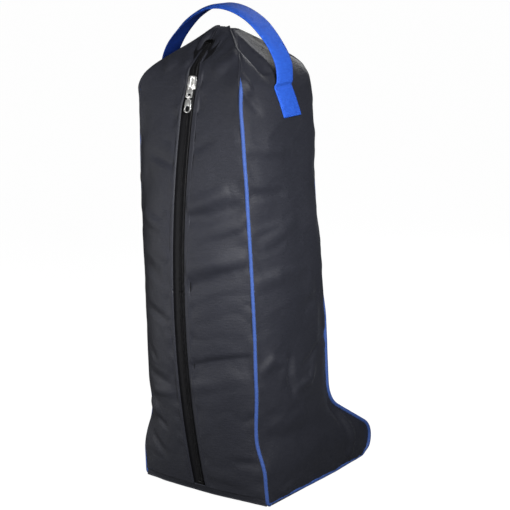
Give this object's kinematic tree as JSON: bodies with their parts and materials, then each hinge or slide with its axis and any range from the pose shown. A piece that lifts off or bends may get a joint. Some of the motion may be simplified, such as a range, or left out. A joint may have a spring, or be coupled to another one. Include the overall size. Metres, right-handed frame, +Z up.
{
  "type": "boot bag",
  "caption": "Tall boot-shaped carry bag with corded seams, a zipped heel that opens as two flaps, a metal slider with a hanging pull, a webbing handle and moulded feet.",
  "frame": {"origin": "on the floor, in the middle of the bag's overall width and depth", "axes": "+Z up, +Y towards the toe, -Y is the zipped heel, +X is the bag's right seen from the heel"},
  "size_m": [0.2376, 0.293, 0.6732],
  "materials": {
    "body_cloth": "tightly woven coated polyester with a slight sheen",
    "base_cloth": "tightly woven coated polyester",
    "piping": "woven tape round a cord",
    "zip_tape": "fine twill tape",
    "zip_coil": "moulded nylon coil",
    "metal": "plated zinc",
    "webbing": "woven polypropylene webbing",
    "board": "stiff board",
    "feet": "moulded",
    "washer": "plain"
  },
  "bodies": {
    "bag": {"side_panel_left": "body_cloth", "side_panel_right": "body_cloth", "front_gusset": "body_cloth", "base_panel": "base_cloth", "base_board": "board", "heel_band": "base_cloth", "zip_panel_top_left": "body_cloth", "zip_panel_top_right": "body_cloth", "zip_panel_low_left": "body_cloth", "zip_panel_low_right": "body_cloth", "piping_left": "piping", "piping_right": "piping", "roof_seams": "body_cloth", "zip_tape_top": "zip_tape", "zip_tape_low": "zip_tape", "zip_coil_top": "zip_coil", "zip_coil_low": "zip_coil", "zip_top_stop": "metal", "zip_bottom_stop": "metal", "handle_end_left": "webbing", "handle_end_right": "webbing", "base_feet": "feet", "foot_washers": "washer"},
    "flap_left": {"zip_panel_left": "body_cloth", "zip_tape_left": "zip_tape", "zip_coil_left": "zip_coil"},
    "flap_right": {"zip_panel_right": "body_cloth", "zip_tape_right": "zip_tape", "zip_coil_right": "zip_coil"},
    "zip_slider": {"slider_body": "metal", "slider_bridge": "metal"},
    "pull_link": {"pull_link": "metal"},
    "pull_tab": {"pull_tab": "metal"},
    "handle": {"handle_strap": "webbing"}
  },
  "joints": [
    {"name": "zip_travel", "type": "hinge", "parent": "bag", "child": "zip_slider", "pos_m": [0, 1.006, 0.26], "axis": [1, 0, 0], "range_deg": [0, 25.8]},
    {"name": "pull_link_swing", "type": "hinge", "parent": "zip_slider", "child": "pull_link", "pos_m": [0, -0.10678, 0.57168], "axis": [-1, 0, 0], "range_deg": [0, 120]},
    {"name": "pull_tab_swing", "type": "hinge", "parent": "pull_link", "child": "pull_tab", "pos_m": [0, -0.11115, 0.55629], "axis": [-1, 0, 0], "range_deg": [0, 90]},
    {"name": "handle_swing", "type": "hinge", "parent": "bag", "child": "handle", "pos_m": [0, -0.034, 0.585], "axis": [1, 0, 0], "range_deg": [-60, 60]},
    {"name": "flap_right_open", "type": "hinge", "parent": "bag", "child": "flap_right", "pos_m": [0.097, -0.11, 0.1], "axis": [-0.0217, 0, 0.9998], "range_deg": [0, 70]},
    {"name": "flap_left_open", "type": "hinge", "parent": "bag", "child": "flap_left", "pos_m": [-0.097, -0.11, 0.1], "axis": [-0.0217, 0, -0.9998], "range_deg": [0, 70]}
  ]
}
